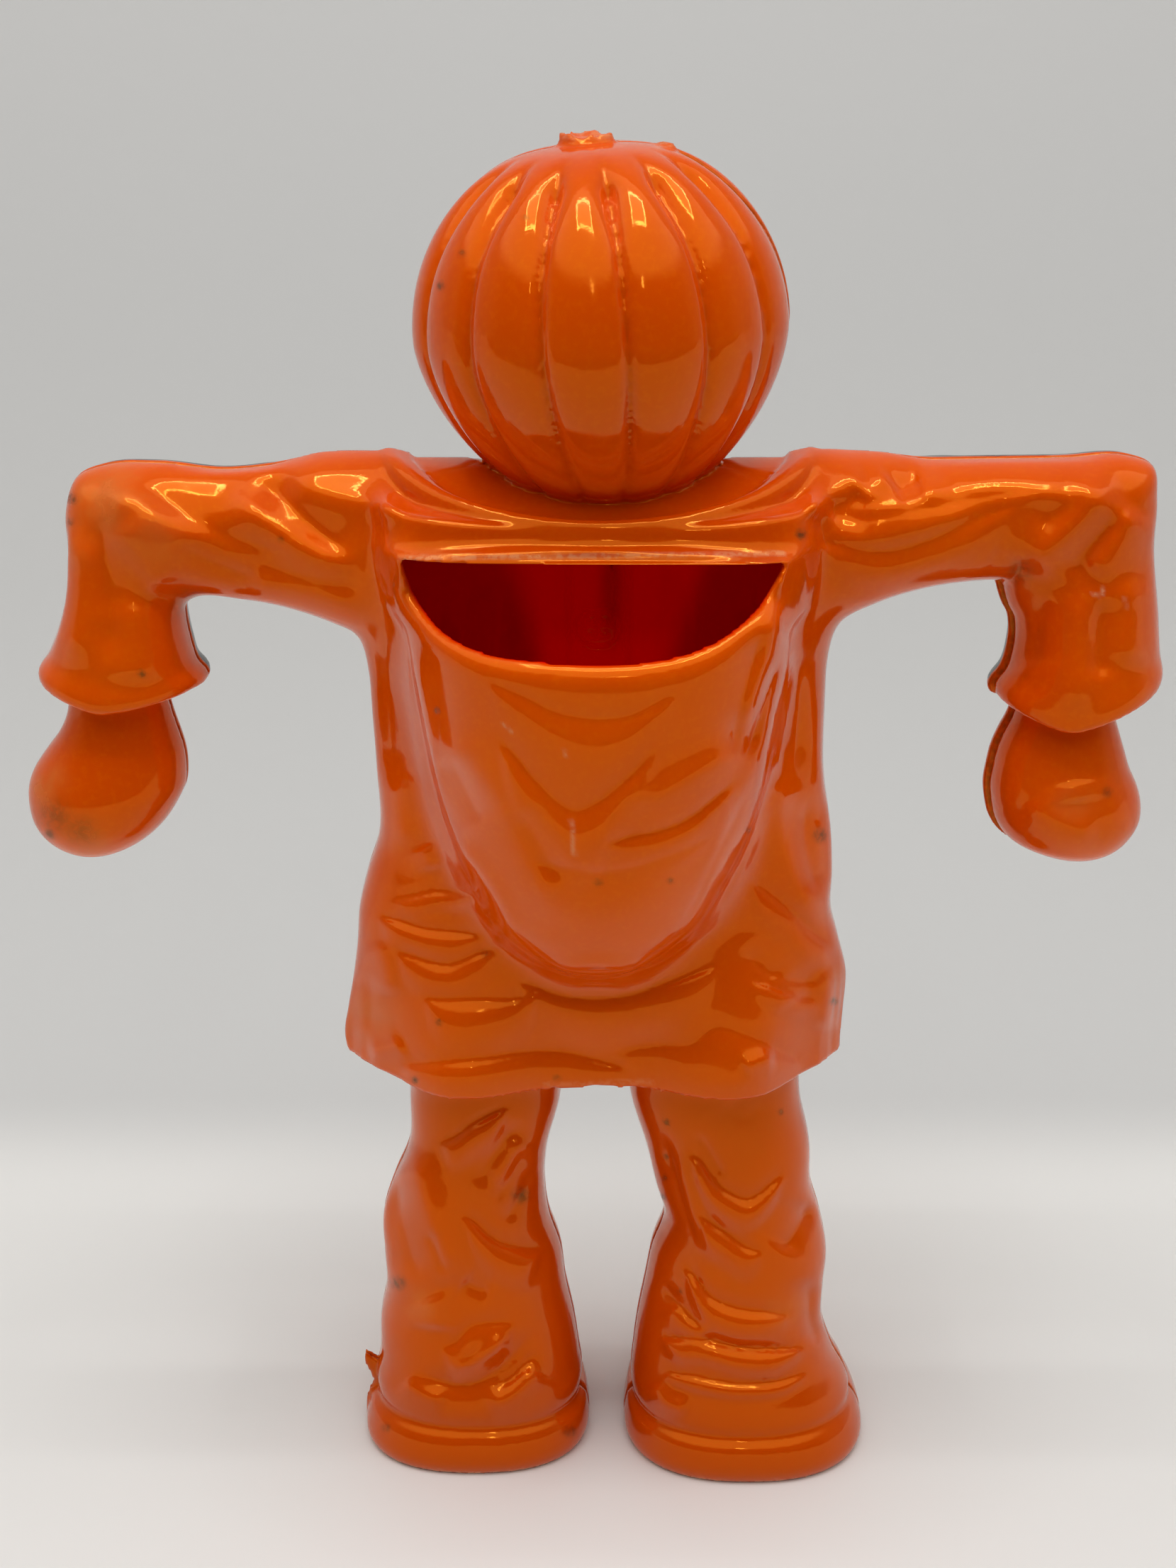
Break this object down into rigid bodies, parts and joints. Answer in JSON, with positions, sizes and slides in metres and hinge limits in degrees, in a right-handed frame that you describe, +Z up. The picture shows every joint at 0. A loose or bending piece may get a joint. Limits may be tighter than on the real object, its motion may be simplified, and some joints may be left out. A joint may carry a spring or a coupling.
{
  "type": "halloween candy container",
  "caption": "Hollow plastic pumpkin-headed scarecrow figure in two cemented halves, with an open sack on its back that holds small candy",
  "frame": {"origin": "on the ground, under the middle of the figure's width and depth", "axes": "+Z up; the figure faces -Y, its sack is on +Y, and its own left hand is on +X; the cemented seam is the plane Y = -0.00265 m"},
  "size_m": [0.1093, 0.039, 0.1345],
  "materials": {
    "orange_plastic": "glossy, moulded, slightly worn",
    "painted_front_plastic": "glossy, moulded, with black airbrushed paint on the coat"
  },
  "bodies": {
    "root": {"back_shell": "orange_plastic", "front_shell": "painted_front_plastic"}
  },
  "joints": []
}
